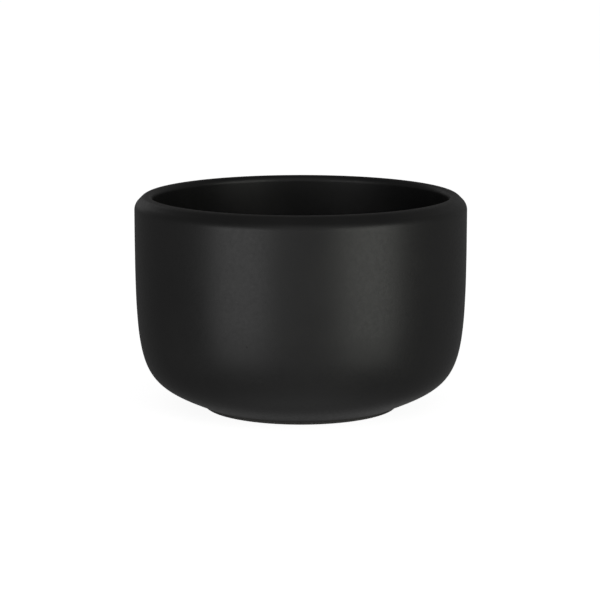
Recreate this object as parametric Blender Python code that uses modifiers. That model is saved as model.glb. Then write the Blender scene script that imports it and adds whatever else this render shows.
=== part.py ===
"""Sugar bowl: a small, open, wheel-turned stoneware bowl with a matt black glaze.

The bowl is one fired piece without a lid. Its layers are one object each: the stoneware body, and the
coats of glaze that lie outside it, inside it and under its base. The body is bare on the foot ring that
it stands on. Every layer is an outline turned about the Z axis.

Units are metres, +Z is up, and the foot ring stands on Z = 0. An outline is a list of points
(radius, height), and it runs with the clay on its right: up the inside, over the lip, down the outside
and in under the base.
"""

import math

import bpy
from mathutils import Vector

UPRIGHT = math.pi / 2  # the angle of straight up

# Outside of the glazed bowl
DIAMETER = 0.090  # at the shoulder, where it is widest
HEIGHT = 0.058
CREST_RADIUS = 0.0414  # of the lip's highest circle
LIP_ROLL = 0.0025  # radius of the lip's outer rounding
SHOULDER_SLOPE = math.radians(45.0)  # of the band between the lip and the shoulder
SHOULDER_RADIUS = 0.0032  # of the rounding where that band meets the wall
WALL_TOP = 0.0491  # height where the upright wall starts to lean in
WALL_PULL = 0.0420  # how far down the wall keeps its direction
BELLY_SLOPE = math.radians(24.0)  # of the underside, where it meets the foot ring
BELLY_PULL = 0.0180  # how far out the underside keeps its slope
CREASE_RADIUS = 0.0269  # where the glaze ends at the foot ring
CREASE_HEIGHT = 0.0009

# Inside of the glazed bowl
MOUTH_RADIUS = 0.0401
LIP_DROP = 0.0018  # height of the lip's inner rounding
INNER_WALL_DROP = 0.0100  # straight stretch under the lip
INNER_WALL_PULL = 0.0400
FLOOR_HEIGHT = 0.0068
FLOOR_RADIUS = 0.0100  # flat middle of the floor
FLOOR_PULL = 0.0235

# Foot ring, and the recess inside it
FOOT_RADIUS = 0.0264
RING_WIDTH = 0.0034
RING_ROUNDING = 0.0004
RECESS_DEPTH = 0.0022
RECESS_FILLET = 0.0012
RECESS_GLAZE_END = 0.0006  # height above the ring's face where the glaze in the recess stops

# Layers
GLAZE = 0.0005
GAP = 0.0003  # clearance that keeps the layers apart
CLAY_DEPTH = GLAZE + GAP  # from the glazed surface to the clay

# Fineness of the outlines and of their turning
TURNING_STEPS = 48
CURVE_STEPS = 10
ROUNDING_STEPS = 3
SHARP_ANGLE = math.radians(40.0)
MERGE_DISTANCE = 1e-6

STONEWARE = {"color": (0.045, 0.040, 0.036), "roughness": 0.85}
BLACK_GLAZE = {"color": (0.012, 0.012, 0.012), "roughness": 0.45}


def curve(start, leave, arrive, end):
    """Points of a cubic curve from start to end."""
    points = []
    for step in range(CURVE_STEPS + 1):
        t = step / CURVE_STEPS
        s = 1.0 - t
        points.append(s**3 * start + 3 * s * s * t * leave + 3 * s * t * t * arrive + t**3 * end)
    return points


def rounding(centre, width, height, first, last):
    """Points of part of an ellipse. Its angles count up from the horizontal."""
    points = []
    for step in range(ROUNDING_STEPS + 1):
        angle = first + (last - first) * step / ROUNDING_STEPS
        points.append(centre + Vector((width * math.cos(angle), height * math.sin(angle))))
    return points


def joined(*runs):
    """One outline made of several runs of points, where two runs may share a point."""
    outline = []
    for run in runs:
        for point in run:
            if not outline or (point - outline[-1]).length > MERGE_DISTANCE:
                outline.append(point)
    return outline


def moved_in(line, distance):
    """The line moved into the clay, with its corners mitred."""
    moved = []
    for index, point in enumerate(line):
        before = (point - line[max(index - 1, 0)]).normalized()
        after = (line[min(index + 1, len(line) - 1)] - point).normalized()
        if index == 0:
            before = after
        if index == len(line) - 1:
            after = before
        along = (before + after) / (1.0 + before.dot(after))
        moved.append(point + distance * Vector((along.y, -along.x)))
    return moved


def inside_line():
    """The glazed inside, from the middle of the floor up to the crest of the lip."""
    crest = CREST_RADIUS - GAP / 2
    lip = Vector((crest, HEIGHT - LIP_DROP))
    wall_foot = Vector((MOUTH_RADIUS, lip.y - INNER_WALL_DROP))
    floor_edge = Vector((FLOOR_RADIUS, FLOOR_HEIGHT))
    leave = floor_edge + Vector((FLOOR_PULL, 0))
    arrive = wall_foot - Vector((0, INNER_WALL_PULL))
    return joined(
        [Vector((0, FLOOR_HEIGHT))],
        curve(floor_edge, leave, arrive, wall_foot),
        rounding(lip, crest - MOUTH_RADIUS, LIP_DROP, math.pi, UPRIGHT),
    )


def outside_line():
    """The glazed outside, from the crest of the lip down to the crease at the foot ring.

    The band between the lip and the shoulder is straight, and touches the roundings at its ends.
    """
    lip = Vector((CREST_RADIUS + GAP / 2, HEIGHT - LIP_ROLL))
    up = UPRIGHT - SHOULDER_SLOPE
    square = Vector((math.cos(up), math.sin(up)))
    across = DIAMETER / 2 - SHOULDER_RADIUS
    reach = square.dot(lip) + LIP_ROLL - SHOULDER_RADIUS
    shoulder = Vector((across, (reach - square.x * across) / square.y))
    wall_top = Vector((DIAMETER / 2, WALL_TOP))
    leave = wall_top - Vector((0, WALL_PULL))
    crease = Vector((CREASE_RADIUS, CREASE_HEIGHT))
    arrive = crease + BELLY_PULL * Vector((math.cos(BELLY_SLOPE), math.sin(BELLY_SLOPE)))
    return joined(
        rounding(lip, LIP_ROLL, LIP_ROLL, UPRIGHT, up),
        rounding(shoulder, SHOULDER_RADIUS, SHOULDER_RADIUS, up, 0),
        curve(wall_top, leave, arrive, crease),
    )


def recess_line():
    """The glazed recess inside the foot ring, from near the ring's face up and in to its middle."""
    wall = FOOT_RADIUS - RING_WIDTH - CLAY_DEPTH
    fillet = Vector((wall - RECESS_FILLET, RECESS_DEPTH - RECESS_FILLET))
    return joined(
        [Vector((wall, RECESS_GLAZE_END))],
        rounding(fillet, RECESS_FILLET, RECESS_FILLET, 0, UPRIGHT),
        [Vector((0, RECESS_DEPTH))],
    )


def body_profile():
    """The fired clay, from the middle of its floor round to the middle of its underside."""
    belly = moved_in(outside_line(), CLAY_DEPTH)
    ring_outside = Vector((FOOT_RADIUS - RING_ROUNDING, RING_ROUNDING))
    ring_inside = Vector((FOOT_RADIUS - RING_WIDTH + RING_ROUNDING, RING_ROUNDING))
    return joined(
        moved_in(inside_line(), CLAY_DEPTH),
        belly,
        [Vector((FOOT_RADIUS, belly[-1].y))],
        rounding(ring_outside, RING_ROUNDING, RING_ROUNDING, 0, -UPRIGHT),
        rounding(ring_inside, RING_ROUNDING, RING_ROUNDING, -UPRIGHT, -math.pi),
        moved_in(recess_line(), CLAY_DEPTH),
    )


def outer_glaze_profile():
    """A closed loop: the glazed outside, and back up along the clay."""
    surface = outside_line()
    return surface + moved_in(surface, GLAZE)[::-1]


def inner_glaze_profile():
    """The glazed inside, and back down along the clay to the axis."""
    surface = inside_line()
    return surface + moved_in(surface, GLAZE)[::-1]


def base_glaze_profile():
    """The glaze in the recess: out along the clay, and back to the axis along its surface."""
    surface = recess_line()
    return moved_in(surface, GLAZE)[::-1] + surface


def principled(name, finish):
    """A material with one Principled BSDF."""
    material = bpy.data.materials.new(name)
    material.use_nodes = True
    shader = material.node_tree.nodes["Principled BSDF"]
    shader.inputs["Base Color"].default_value = (*finish["color"], 1.0)
    shader.inputs["Roughness"].default_value = finish["roughness"]
    shader.inputs["Metallic"].default_value = 0.0
    material.diffuse_color = (*finish["color"], 1.0)
    return material


def turn(name, profile, finish, collection):
    """Adds an object: the profile turned about the Z axis. A profile that misses the axis is a loop."""
    outline = bpy.data.meshes.new(name + "_outline")
    edges = [(index, index + 1) for index in range(len(profile) - 1)]
    if profile[0].x > MERGE_DISTANCE:
        edges.append((len(profile) - 1, 0))
    outline.from_pydata([(point.x, 0, point.y) for point in profile], edges, [])
    layer = bpy.data.objects.new(name, outline)
    collection.objects.link(layer)

    screw = layer.modifiers.new("Turn", "SCREW")
    screw.axis = "Z"
    screw.steps = TURNING_STEPS
    screw.render_steps = TURNING_STEPS
    screw.use_merge_vertices = True
    screw.merge_threshold = MERGE_DISTANCE

    turned = layer.evaluated_get(bpy.context.evaluated_depsgraph_get())
    mesh = bpy.data.meshes.new_from_object(turned)
    mesh.name = name
    mesh.shade_smooth()
    mesh.set_sharp_from_angle(angle=SHARP_ANGLE)
    mesh.materials.append(principled(name, finish))
    layer.modifiers.remove(screw)
    layer.data = mesh
    bpy.data.meshes.remove(outline)
    return layer


def build():
    for existing in list(bpy.data.objects):
        bpy.data.objects.remove(existing)
    bowl = bpy.data.collections.new("sugar_bowl")
    bpy.context.scene.collection.children.link(bowl)
    turn("stoneware_body", body_profile(), STONEWARE, bowl)
    turn("outer_glaze", outer_glaze_profile(), BLACK_GLAZE, bowl)
    turn("inner_glaze", inner_glaze_profile(), BLACK_GLAZE, bowl)
    turn("base_glaze", base_glaze_profile(), BLACK_GLAZE, bowl)


build()
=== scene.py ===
"""The looks of the sugar bowl: fine turned meshes for its clay and its coats of glaze, their materials,
and a plain pale studio. Units are metres, +Z is up, and the bowl stands on Z = 0.

An outline is a list of points (radius, height). It runs with the clay on its right: up the inside, over
the lip, down the outside and in under the base.
"""

import math

import bpy
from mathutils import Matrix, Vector


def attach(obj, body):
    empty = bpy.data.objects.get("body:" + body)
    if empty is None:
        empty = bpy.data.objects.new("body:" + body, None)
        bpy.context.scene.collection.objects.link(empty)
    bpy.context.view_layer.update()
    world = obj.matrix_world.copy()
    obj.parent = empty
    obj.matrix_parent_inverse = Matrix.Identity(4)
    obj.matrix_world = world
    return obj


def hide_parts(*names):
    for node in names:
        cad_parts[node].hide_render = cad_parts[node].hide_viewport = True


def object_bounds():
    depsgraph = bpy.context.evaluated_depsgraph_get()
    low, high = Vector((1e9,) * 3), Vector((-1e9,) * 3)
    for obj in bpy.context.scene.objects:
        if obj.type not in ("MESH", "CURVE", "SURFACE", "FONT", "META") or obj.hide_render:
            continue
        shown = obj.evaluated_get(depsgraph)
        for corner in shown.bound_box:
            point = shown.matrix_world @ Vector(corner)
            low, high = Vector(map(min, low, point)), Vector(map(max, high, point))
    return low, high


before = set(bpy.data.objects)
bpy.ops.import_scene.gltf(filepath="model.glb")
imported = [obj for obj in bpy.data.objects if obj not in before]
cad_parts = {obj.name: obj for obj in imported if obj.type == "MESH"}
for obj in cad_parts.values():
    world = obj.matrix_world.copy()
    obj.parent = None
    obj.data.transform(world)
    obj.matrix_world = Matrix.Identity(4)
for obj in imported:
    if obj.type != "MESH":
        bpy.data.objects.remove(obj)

cad_low, cad_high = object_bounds()

UPRIGHT = math.pi / 2  # the angle of straight up

# Sizes of the glazed bowl, from the frame and as the design states them
RADIUS = cad_high.x
HEIGHT = cad_high.z
CREST_RADIUS = 0.0414  # of the lip's highest circle
LIP_ROLL = 0.0025  # radius of the lip's outer rounding
SHOULDER_SLOPE = math.radians(45.0)  # of the band between the lip and the shoulder
SHOULDER_RADIUS = 0.0032  # of the rounding where that band meets the wall
WALL_TOP = 0.0491  # height where the upright wall starts to lean in
WALL_PULL = 0.0420  # how far down the wall keeps its direction
BELLY_SLOPE = math.radians(24.0)  # of the underside, where it meets the foot ring
BELLY_PULL = 0.0180  # how far out the underside keeps its slope
CREASE_RADIUS = 0.0269  # where the glaze ends at the foot ring
CREASE_HEIGHT = 0.0009
MOUTH_RADIUS = 0.0401
LIP_DROP = 0.0018  # height of the lip's inner rounding
INNER_WALL_DROP = 0.0100  # straight stretch under the lip
INNER_WALL_PULL = 0.0400
FLOOR_HEIGHT = 0.0068
FLOOR_RADIUS = 0.0100  # flat middle of the floor inside
FLOOR_PULL = 0.0235
FOOT_RADIUS = 0.0264
RING_WIDTH = 0.0034
RING_ROUNDING = 0.0004
RECESS_DEPTH = 0.0022
RECESS_FILLET = 0.0012
RECESS_GLAZE_END = 0.0006  # height above the ring's face where the glaze in the recess stops
GLAZE = 0.0008  # from the glazed surface to the clay, which touch here

# Fineness of the outlines and of their turning
SEGMENTS = 288
CURVE_STEPS = 72
LIP_STEPS = 28
FILLET_STEPS = 10
BEAD_STEPS = 6
SHARP_ANGLE = math.radians(50.0)
MERGE_DISTANCE = 1e-6

# Marks of the wheel: how far the surface stands back from the true outline
OVALITY = 0.00005
OVAL_TURN = 0.9  # radians, which way the oval lies
THROWING_DEPTH = 0.000012
THROWING_PITCH = 0.0090
THROWING_DRIFT = 3.0  # radians that a ring lags from the axis out to the wall

# Where the glaze is lighter, partly a real thin break and partly painted light (a painted highlight on the
# lip, a painted reflection of the floor at its lower edge): how far down from the crest, and how far up from
# its lower edge
LIP_THIN_AND_HIGHLIGHT = 0.0005
EDGE_THIN_AND_REFLECTION = 0.0009
THIN_AND_PAINTED_LIGHT_WANDER = 0.0005  # how far those lines waver

# Colours
GLAZE_DEEP = (0.0092, 0.0092, 0.0093, 1)
GLAZE_CLOUD = (0.0122, 0.0121, 0.0119, 1)
GLAZE_CRYSTAL = (0.020, 0.019, 0.0175, 1)
# tone of the thin glaze break, which also serves as a painted highlight on the lip and a painted reflection
# at the lower edge
GLAZE_THIN_AND_PAINTED_LIGHT = (0.021, 0.0185, 0.0165, 1)
CLAY_DARK = (0.024, 0.023, 0.022, 1)
CLAY_PALE = (0.058, 0.0555, 0.053, 1)
CLAY_IRON = (0.010, 0.008, 0.007, 1)
FLOOR_PAINT = (0.8, 0.8, 0.8, 1)
WHITE = (1, 1, 1, 1)

# The studio
CAMERA_ELEVATION = math.radians(10.0)
CAMERA_DISTANCE = 0.689
CAMERA_LENS = 151.7  # mm
CAMERA_SENSOR = 36.0  # mm across
CLIP_NEAR = 0.01
CLIP_FAR = 20.0
AIM_OFFSET = Vector((-0.0002, 0, -0.0001))  # from the middle of the bowl
FLOOR_REACH = 3.0
FLOOR_SIDES = 128
FLOOR_GLOW = 0.90
# Soft boxes: name, azimuth, height of the lower and of the upper edge, width, distance, radiance, tint
SOFTBOXES = (
    ("softbox_left", -40, -0.20, 0.24, 0.42, 0.6, 1.30, (1.0, 1.0, 1.0)),
    ("softbox_right", 46, -0.20, 0.32, 0.44, 0.6, 1.54, (0.99, 1.0, 0.94)),
    ("softbox_behind", 212, 0.10, 0.50, 0.20, 0.7, 0.22, (1.0, 1.0, 1.0)),
)
# Soft glows from all round: azimuth, elevation, tightness, brightness
GLOWS = (
    (180, 20, 5.0, 0.03),
    (140, 25, 8.0, 0.04),
    (0, 32, 8.0, 0.28),
    (0, -75, 5.0, 0.27),
    (170, -30, 20.0, 0.11),
    (100, -10, 6.0, 0.06),
    (280, -10, 10.0, 0.08),
    (0, -10, 12.0, 0.32),
)
DIM_ROOM = 0.105


def curve(start, leave, arrive, end, steps=CURVE_STEPS):
    """Points of a cubic curve from start to end."""
    points = []
    for step in range(steps + 1):
        t = step / steps
        s = 1.0 - t
        points.append(s**3 * start + 3 * s * s * t * leave + 3 * s * t * t * arrive + t**3 * end)
    return points


def rounding(centre, width, height, first, last, steps=FILLET_STEPS):
    """Points of part of an ellipse. Its angles count up from the horizontal."""
    points = []
    for step in range(steps + 1):
        angle = first + (last - first) * step / steps
        points.append(centre + Vector((width * math.cos(angle), height * math.sin(angle))))
    return points


def joined(*runs):
    """One outline made of several runs of points, where two runs may share a point."""
    outline = []
    for run in runs:
        for point in run:
            if not outline or (point - outline[-1]).length > MERGE_DISTANCE:
                outline.append(point)
    return outline


def moved_in(line, distance):
    """The line moved into the clay, with its corners mitred."""
    moved = []
    for index, point in enumerate(line):
        before = (point - line[max(index - 1, 0)]).normalized()
        after = (line[min(index + 1, len(line) - 1)] - point).normalized()
        if index == 0:
            before = after
        if index == len(line) - 1:
            after = before
        along = (before + after) / (1.0 + before.dot(after))
        moved.append(point + distance * Vector((along.y, -along.x)))
    return moved


def inside_line():
    """The glazed inside, from the middle of the floor up to the crest of the lip."""
    lip = Vector((CREST_RADIUS, HEIGHT - LIP_DROP))
    wall_foot = Vector((MOUTH_RADIUS, lip.y - INNER_WALL_DROP))
    floor_edge = Vector((FLOOR_RADIUS, FLOOR_HEIGHT))
    leave = floor_edge + Vector((FLOOR_PULL, 0))
    arrive = wall_foot - Vector((0, INNER_WALL_PULL))
    wall = [wall_foot + Vector((0, INNER_WALL_DROP * step / FILLET_STEPS)) for step in range(FILLET_STEPS)]
    floor = [Vector((FLOOR_RADIUS * step / FILLET_STEPS, FLOOR_HEIGHT)) for step in range(FILLET_STEPS)]
    return joined(
        floor,
        curve(floor_edge, leave, arrive, wall_foot),
        wall,
        rounding(lip, CREST_RADIUS - MOUTH_RADIUS, LIP_DROP, math.pi, UPRIGHT, LIP_STEPS),
    )


def outside_line():
    """The glazed outside, from the crest of the lip down to the crease at the foot ring.

    The band between the lip and the shoulder is straight, and touches the roundings at its ends.
    """
    lip = Vector((CREST_RADIUS, HEIGHT - LIP_ROLL))
    up = UPRIGHT - SHOULDER_SLOPE
    square = Vector((math.cos(up), math.sin(up)))
    across = RADIUS - SHOULDER_RADIUS
    reach = square.dot(lip) + LIP_ROLL - SHOULDER_RADIUS
    shoulder = Vector((across, (reach - square.x * across) / square.y))
    wall_top = Vector((RADIUS, WALL_TOP))
    leave = wall_top - Vector((0, WALL_PULL))
    crease = Vector((CREASE_RADIUS, CREASE_HEIGHT))
    arrive = crease + BELLY_PULL * Vector((math.cos(BELLY_SLOPE), math.sin(BELLY_SLOPE)))
    return joined(
        rounding(lip, LIP_ROLL, LIP_ROLL, UPRIGHT, up, LIP_STEPS),
        rounding(shoulder, SHOULDER_RADIUS, SHOULDER_RADIUS, up, 0, LIP_STEPS),
        curve(wall_top, leave, arrive, crease),
    )


def recess_line():
    """The glazed recess inside the foot ring, from near the ring's face up and in to its middle."""
    wall = FOOT_RADIUS - RING_WIDTH - GLAZE
    fillet = Vector((wall - RECESS_FILLET, RECESS_DEPTH - RECESS_FILLET))
    base = [Vector((wall * step / CURVE_STEPS, RECESS_DEPTH)) for step in range(CURVE_STEPS)]
    base = [point for point in base if point.x < fillet.x]
    return joined(
        [Vector((wall, RECESS_GLAZE_END))],
        rounding(fillet, RECESS_FILLET, RECESS_FILLET, 0, UPRIGHT),
        base[::-1],
    )


def bead(start, end):
    """The rounded edge of a coat: a half turn from its surface round to the clay."""
    middle = (start + end) / 2
    spoke = start - middle
    points = []
    for step in range(BEAD_STEPS + 1):
        angle = -math.pi * step / BEAD_STEPS
        turned = Vector((
            spoke.x * math.cos(angle) - spoke.y * math.sin(angle),
            spoke.x * math.sin(angle) + spoke.y * math.cos(angle),
        ))
        points.append(middle + turned)
    return points


def body_profile():
    """The fired clay, from the middle of its floor round to the middle of its underside."""
    belly = moved_in(outside_line(), GLAZE)
    ring_outside = Vector((FOOT_RADIUS - RING_ROUNDING, RING_ROUNDING))
    ring_inside = Vector((FOOT_RADIUS - RING_WIDTH + RING_ROUNDING, RING_ROUNDING))
    return joined(
        moved_in(inside_line(), GLAZE),
        belly,
        [Vector((FOOT_RADIUS, belly[-1].y))],
        rounding(ring_outside, RING_ROUNDING, RING_ROUNDING, 0, -UPRIGHT),
        rounding(ring_inside, RING_ROUNDING, RING_ROUNDING, -UPRIGHT, -math.pi),
        moved_in(recess_line(), GLAZE),
    )


def outer_glaze_profile():
    """A closed loop: the glazed outside, round its bead at the foot ring, and back up along the clay."""
    surface = outside_line()
    back = moved_in(surface, GLAZE)
    return joined(surface, bead(surface[-1], back[-1]), back[-2::-1])


def inner_glaze_profile():
    """The glazed inside, and back down along the clay to the axis."""
    surface = inside_line()
    return surface + moved_in(surface, GLAZE)[::-1]


def base_glaze_profile():
    """The glaze in the recess: out along the clay, round its bead, and back along its surface."""
    surface = recess_line()
    back = moved_in(surface, GLAZE)
    return joined(back[:0:-1], bead(back[0], surface[0]), surface[1:])


def wheel_marks(radius, height, angle):
    """How far the surface stands in from its outline: a trace of ovality, and faint throwing rings."""
    oval = 0.5 - 0.5 * math.cos(2 * angle - OVAL_TURN)
    phase = math.tau * height / THROWING_PITCH + angle + THROWING_DRIFT * radius / RADIUS
    rings = 0.5 - 0.5 * math.sin(phase)
    return (OVALITY * oval + THROWING_DEPTH * rings) * radius / RADIUS


def turned_mesh(name, profile):
    """A closed mesh: the profile turned about the Z axis. A profile that starts off the axis is a loop."""
    is_loop = profile[0].x > MERGE_DISTANCE
    verts = []
    rings = []
    for point in profile:
        if point.x <= MERGE_DISTANCE:
            rings.append([len(verts)] * SEGMENTS)
            verts.append((0.0, 0.0, point.y))
            continue
        rings.append(list(range(len(verts), len(verts) + SEGMENTS)))
        for segment in range(SEGMENTS):
            angle = math.tau * segment / SEGMENTS
            radius = point.x - wheel_marks(point.x, point.y, angle)
            verts.append((radius * math.cos(angle), radius * math.sin(angle), point.y))
    pairs = list(zip(rings[:-1], rings[1:]))
    if is_loop:
        pairs.append((rings[-1], rings[0]))
    faces = []
    for upper, lower in pairs:
        for segment in range(SEGMENTS):
            after = (segment + 1) % SEGMENTS
            corners = [upper[segment], lower[segment], lower[after], upper[after]]
            faces.append(list(dict.fromkeys(corners)))
    mesh = bpy.data.meshes.new(name)
    mesh.from_pydata(verts, [], faces)
    mesh.validate()
    mesh.shade_smooth()
    mesh.set_sharp_from_angle(angle=SHARP_ANGLE)
    return mesh


def add_piece(name, profile, node, material):
    """A turned piece that stands for one node of the frame."""
    piece = bpy.data.objects.new(name, turned_mesh(name, profile))
    bpy.context.scene.collection.objects.link(piece)
    piece.data.materials.append(material)
    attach(piece, "root")
    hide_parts(node)


def new_material(name):
    """An empty material, its Principled shader, and two helpers that add and join its nodes."""
    material = bpy.data.materials.new(name)
    material.use_nodes = True
    tree = material.node_tree
    shader = tree.nodes["Principled BSDF"]

    def add(kind, inputs=(), **settings):
        node = tree.nodes.new(kind)
        for key, value in settings.items():
            setattr(node, key, value)
        for key, value in dict(inputs).items():
            if isinstance(value, bpy.types.NodeSocket):
                tree.links.new(value, node.inputs[key])
            else:
                node.inputs[key].default_value = value
        return node

    return material, shader, add, tree.links.new


def black_glaze():
    """A satin-matt black glaze. It is softly clouded, and breaks browner and lighter where it runs thin at
    the lip and at its lower edge; that lighter tone is also a painted highlight on the lip and a painted
    reflection of the floor at the lower edge. It has a fine eggshell skin, faint lines from the wheel and a
    few pinholes."""
    material, shader, add, link = new_material("black_glaze")
    place = add("ShaderNodeTexCoord").outputs["Object"]
    height = add("ShaderNodeSeparateXYZ", {"Vector": place}).outputs["Z"]

    clouds = add("ShaderNodeTexNoise", {"Vector": place, "Scale": 70.0, "Detail": 3.0})
    deep = add("ShaderNodeValToRGB", {"Fac": clouds.outputs["Fac"]})
    deep.color_ramp.elements[0].position = 0.35
    deep.color_ramp.elements[0].color = GLAZE_DEEP
    deep.color_ramp.elements[1].position = 0.65
    deep.color_ramp.elements[1].color = GLAZE_CLOUD

    crystals = add("ShaderNodeTexNoise", {"Vector": place, "Scale": 2600.0, "Detail": 2.0, "Roughness": 0.7})
    specks = add("ShaderNodeMapRange", {
        "Value": crystals.outputs["Fac"], "From Min": 0.62, "From Max": 0.74, "To Min": 0.0, "To Max": 0.5,
    })
    speckled = add("ShaderNodeMix", data_type="RGBA")
    link(specks.outputs["Result"], speckled.inputs["Factor"])
    link(deep.outputs["Color"], speckled.inputs["A"])
    speckled.inputs["B"].default_value = GLAZE_CRYSTAL

    wander = add("ShaderNodeTexNoise", {"Vector": place, "Scale": 160.0, "Detail": 4.0})
    waver = add("ShaderNodeMath", {0: wander.outputs["Fac"], 1: THIN_AND_PAINTED_LIGHT_WANDER, 2: height},
                operation="MULTIPLY_ADD")
    # near the crest: thin glaze break plus a painted highlight on the lip
    lip = add("ShaderNodeMapRange", {
        "Value": waver.outputs["Value"], "From Min": HEIGHT + THIN_AND_PAINTED_LIGHT_WANDER / 2 - LIP_THIN_AND_HIGHLIGHT,
        "From Max": HEIGHT + THIN_AND_PAINTED_LIGHT_WANDER / 2, "To Min": 0.0, "To Max": 0.55,
    })
    # near the glaze's lower edge: thin glaze break plus a painted reflection of the floor
    edge_thin_and_reflection = add("ShaderNodeMapRange", {
        "Value": waver.outputs["Value"], "From Min": CREASE_HEIGHT + THIN_AND_PAINTED_LIGHT_WANDER / 2 + EDGE_THIN_AND_REFLECTION,
        "From Max": CREASE_HEIGHT + THIN_AND_PAINTED_LIGHT_WANDER / 2 - GLAZE, "To Min": 0.0, "To Max": 0.7,
    })
    thin_and_painted_light = add("ShaderNodeMath", {0: lip.outputs["Result"], 1: edge_thin_and_reflection.outputs["Result"]}, operation="MAXIMUM")
    # mixes in the lighter tone of the thin break and the painted highlight and reflection
    colour = add("ShaderNodeMix", data_type="RGBA")
    link(thin_and_painted_light.outputs["Value"], colour.inputs["Factor"])
    link(speckled.outputs["Result"], colour.inputs["A"])
    colour.inputs["B"].default_value = GLAZE_THIN_AND_PAINTED_LIGHT
    link(colour.outputs["Result"], shader.inputs["Base Color"])

    silk = add("ShaderNodeTexNoise", {"Vector": place, "Scale": 1100.0, "Detail": 4.0, "Roughness": 0.6})
    sheen = add("ShaderNodeMapRange", {
        "Value": silk.outputs["Fac"], "From Min": 0.3, "From Max": 0.7, "To Min": 0.34, "To Max": 0.44,
    })
    drift = add("ShaderNodeMapRange", {
        "Value": clouds.outputs["Fac"], "From Min": 0.3, "From Max": 0.7, "To Min": -0.015, "To Max": 0.015,
    })
    gloss = add("ShaderNodeMath", {0: sheen.outputs["Result"], 1: drift.outputs["Result"]}, operation="ADD")
    drier = add("ShaderNodeMath", {0: thin_and_painted_light.outputs["Value"], 1: 0.10, 2: gloss.outputs["Value"]},
                operation="MULTIPLY_ADD")
    link(drier.outputs["Value"], shader.inputs["Roughness"])

    around = add("ShaderNodeVectorMath", {0: place, 1: (45.0, 45.0, 1500.0)}, operation="MULTIPLY")
    lines = add("ShaderNodeTexNoise", {"Vector": around.outputs["Vector"], "Scale": 1.0, "Detail": 2.0})
    skin = add("ShaderNodeBump", {"Strength": 0.4, "Distance": 0.000012, "Height": silk.outputs["Fac"]})
    wheel = add("ShaderNodeBump", {
        "Strength": 0.3, "Distance": 0.000010, "Height": lines.outputs["Fac"],
        "Normal": skin.outputs["Normal"],
    })
    cells = add("ShaderNodeTexVoronoi", {"Vector": place, "Scale": 220.0})
    pit = add("ShaderNodeMapRange", {
        "Value": cells.outputs["Distance"],
        "From Min": 0.015, "From Max": 0.045, "To Min": 0.0, "To Max": 1.0,
    })
    chance = add("ShaderNodeSeparateColor", {"Color": cells.outputs["Color"]})
    rare = add("ShaderNodeMath", {0: chance.outputs["Red"], 1: 0.9}, operation="LESS_THAN")
    kept = add("ShaderNodeMath", {0: pit.outputs["Result"], 1: rare.outputs["Value"]}, operation="MAXIMUM")
    pinholes = add("ShaderNodeBump", {
        "Strength": 0.8, "Distance": 0.00012, "Height": kept.outputs["Value"],
        "Normal": wheel.outputs["Normal"],
    })
    link(pinholes.outputs["Normal"], shader.inputs["Normal"])
    return material


def bare_stoneware():
    """Dark fired clay, ground smooth to stand on: fine sand, darker iron grains, and rings of turning."""
    material, shader, add, link = new_material("bare_stoneware")
    place = add("ShaderNodeTexCoord").outputs["Object"]
    sand = add("ShaderNodeTexNoise", {"Vector": place, "Scale": 2200.0, "Detail": 3.0})
    clay = add("ShaderNodeValToRGB", {"Fac": sand.outputs["Fac"]})
    clay.color_ramp.elements[0].position = 0.3
    clay.color_ramp.elements[0].color = CLAY_DARK
    clay.color_ramp.elements[1].position = 0.7
    clay.color_ramp.elements[1].color = CLAY_PALE

    cells = add("ShaderNodeTexVoronoi", {"Vector": place, "Scale": 1300.0})
    grain = add("ShaderNodeMapRange", {
        "Value": cells.outputs["Distance"],
        "From Min": 0.16, "From Max": 0.26, "To Min": 1.0, "To Max": 0.0,
    })
    chance = add("ShaderNodeSeparateColor", {"Color": cells.outputs["Color"]})
    rare = add("ShaderNodeMath", {0: chance.outputs["Red"], 1: 0.78}, operation="GREATER_THAN")
    iron = add("ShaderNodeMath", {0: grain.outputs["Result"], 1: rare.outputs["Value"]},
               operation="MULTIPLY")
    colour = add("ShaderNodeMix", data_type="RGBA")
    link(iron.outputs["Value"], colour.inputs["Factor"])
    link(clay.outputs["Color"], colour.inputs["A"])
    colour.inputs["B"].default_value = CLAY_IRON
    link(colour.outputs["Result"], shader.inputs["Base Color"])

    dryness = add("ShaderNodeMapRange", {
        "Value": sand.outputs["Fac"], "From Min": 0.3, "From Max": 0.7, "To Min": 0.78, "To Max": 0.92,
    })
    link(dryness.outputs["Result"], shader.inputs["Roughness"])
    rings = add("ShaderNodeTexWave", {"Vector": place, "Scale": 420.0, "Distortion": 1.5, "Detail": 2.0},
                wave_type="RINGS", rings_direction="Z")
    turned = add("ShaderNodeBump", {"Strength": 0.4, "Distance": 0.00002, "Height": rings.outputs["Fac"]})
    rough = add("ShaderNodeBump", {
        "Strength": 0.6, "Distance": 0.00006, "Height": sand.outputs["Fac"],
        "Normal": turned.outputs["Normal"],
    })
    link(rough.outputs["Normal"], shader.inputs["Normal"])
    return material


def add_pieces():
    glaze = black_glaze()
    clay = bare_stoneware()
    add_piece("clay_body", body_profile(), "stoneware_body", clay)
    add_piece("glaze_outside", outer_glaze_profile(), "outer_glaze", glaze)
    add_piece("glaze_inside", inner_glaze_profile(), "inner_glaze", glaze)
    add_piece("glaze_under_base", base_glaze_profile(), "base_glaze", glaze)


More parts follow.
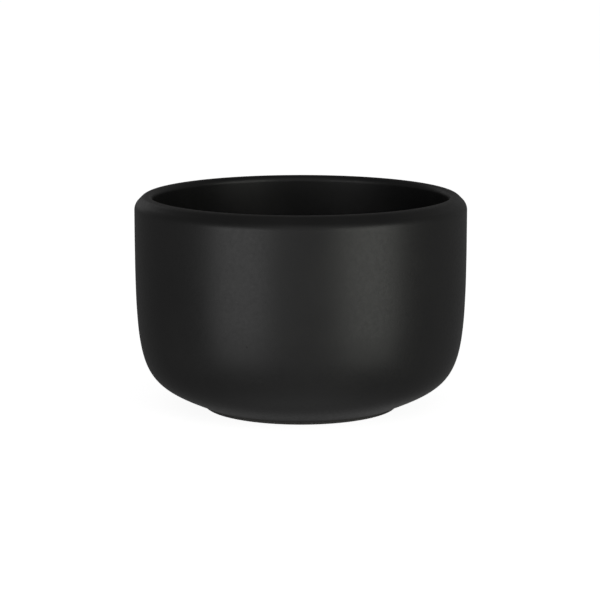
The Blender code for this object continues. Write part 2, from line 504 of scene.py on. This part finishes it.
def add_floor():
    """A pale floor that shows white, like a lit table, and doesn't glare in the dark glaze."""
    bpy.ops.mesh.primitive_circle_add(vertices=FLOOR_SIDES, radius=FLOOR_REACH, fill_type="NGON")
    floor = bpy.context.object
    floor.name = "floor"
    material, shader = new_material("pale_floor")[:2]
    shader.inputs["Base Color"].default_value = FLOOR_PAINT
    shader.inputs["Roughness"].default_value = 1.0
    shader.inputs["Specular IOR Level"].default_value = 0.0
    shader.inputs["Emission Color"].default_value = WHITE
    shader.inputs["Emission Strength"].default_value = FLOOR_GLOW
    floor.data.materials.append(material)
    floor.visible_glossy = False
    floor.visible_diffuse = False
    floor.visible_shadow = False


def add_softbox(name, azimuth, low, high, width, distance, radiance, tint):
    """A tall soft box that faces the bowl. Azimuth 0 is on the camera's side, and 90 on the right."""
    lamp = bpy.data.lights.new(name, "AREA")
    lamp.shape = "RECTANGLE"
    lamp.size = width
    lamp.size_y = high - low
    lamp.energy = radiance * math.pi * width * (high - low)
    lamp.color = tint
    softbox = bpy.data.objects.new(name, lamp)
    bpy.context.scene.collection.objects.link(softbox)
    turn = math.radians(azimuth)
    softbox.location = (distance * math.sin(turn), -distance * math.cos(turn), (low + high) / 2)
    softbox.rotation_euler = (UPRIGHT, 0, turn)


def direction(azimuth, elevation):
    """A unit vector from the bowl. Azimuth 0 is on the camera's side, and 90 on the right."""
    turn = math.radians(azimuth)
    tilt = math.radians(elevation)
    return (math.sin(turn) * math.cos(tilt), -math.cos(turn) * math.cos(tilt), math.sin(tilt))


def add_room():
    """The room: a dim studio with a few soft glows, which shows plain white behind the floor."""
    world = bpy.data.worlds.new("studio")
    bpy.context.scene.world = world
    world.use_nodes = True
    tree = world.node_tree
    link = tree.links.new
    background = tree.nodes["Background"]
    background.inputs["Color"].default_value = WHITE
    way = tree.nodes.new("ShaderNodeTexCoord").outputs["Generated"]
    total = None
    for azimuth, elevation, tightness, brightness in GLOWS:
        facing = tree.nodes.new("ShaderNodeVectorMath")
        facing.operation = "DOT_PRODUCT"
        facing.inputs[1].default_value = direction(azimuth, elevation)
        link(way, facing.inputs[0])
        kept = tree.nodes.new("ShaderNodeMath")
        kept.operation = "MAXIMUM"
        kept.inputs[1].default_value = 0.0
        link(facing.outputs["Value"], kept.inputs[0])
        lobe = tree.nodes.new("ShaderNodeMath")
        lobe.operation = "POWER"
        lobe.inputs[1].default_value = tightness
        link(kept.outputs["Value"], lobe.inputs[0])
        glow = tree.nodes.new("ShaderNodeMath")
        glow.operation = "MULTIPLY_ADD"
        glow.inputs[1].default_value = brightness
        link(lobe.outputs["Value"], glow.inputs[0])
        glow.inputs[2].default_value = DIM_ROOM
        if total:
            link(total, glow.inputs[2])
        total = glow.outputs["Value"]
    seen = tree.nodes.new("ShaderNodeLightPath").outputs["Is Camera Ray"]
    shown = tree.nodes.new("ShaderNodeMix")
    shown.data_type = "FLOAT"
    link(seen, shown.inputs["Factor"])
    link(total, shown.inputs["A"])
    shown.inputs["B"].default_value = 1.0
    link(shown.outputs["Result"], background.inputs["Strength"])


def add_camera():
    data = bpy.data.cameras.new("camera")
    data.lens = CAMERA_LENS
    data.sensor_width = CAMERA_SENSOR
    data.clip_start = CLIP_NEAR
    data.clip_end = CLIP_FAR
    camera = bpy.data.objects.new("camera", data)
    bpy.context.scene.collection.objects.link(camera)
    away = Vector((0, -math.cos(CAMERA_ELEVATION), math.sin(CAMERA_ELEVATION)))
    aim = Vector((0, 0, HEIGHT / 2)) + AIM_OFFSET
    camera.location = aim + CAMERA_DISTANCE * away
    camera.rotation_euler = (UPRIGHT - CAMERA_ELEVATION, 0, 0)
    bpy.context.scene.camera = camera


add_camera()
add_pieces()
add_floor()
for softbox in SOFTBOXES:
    add_softbox(*softbox)
add_room()
bpy.context.scene.view_settings.view_transform = "Standard"
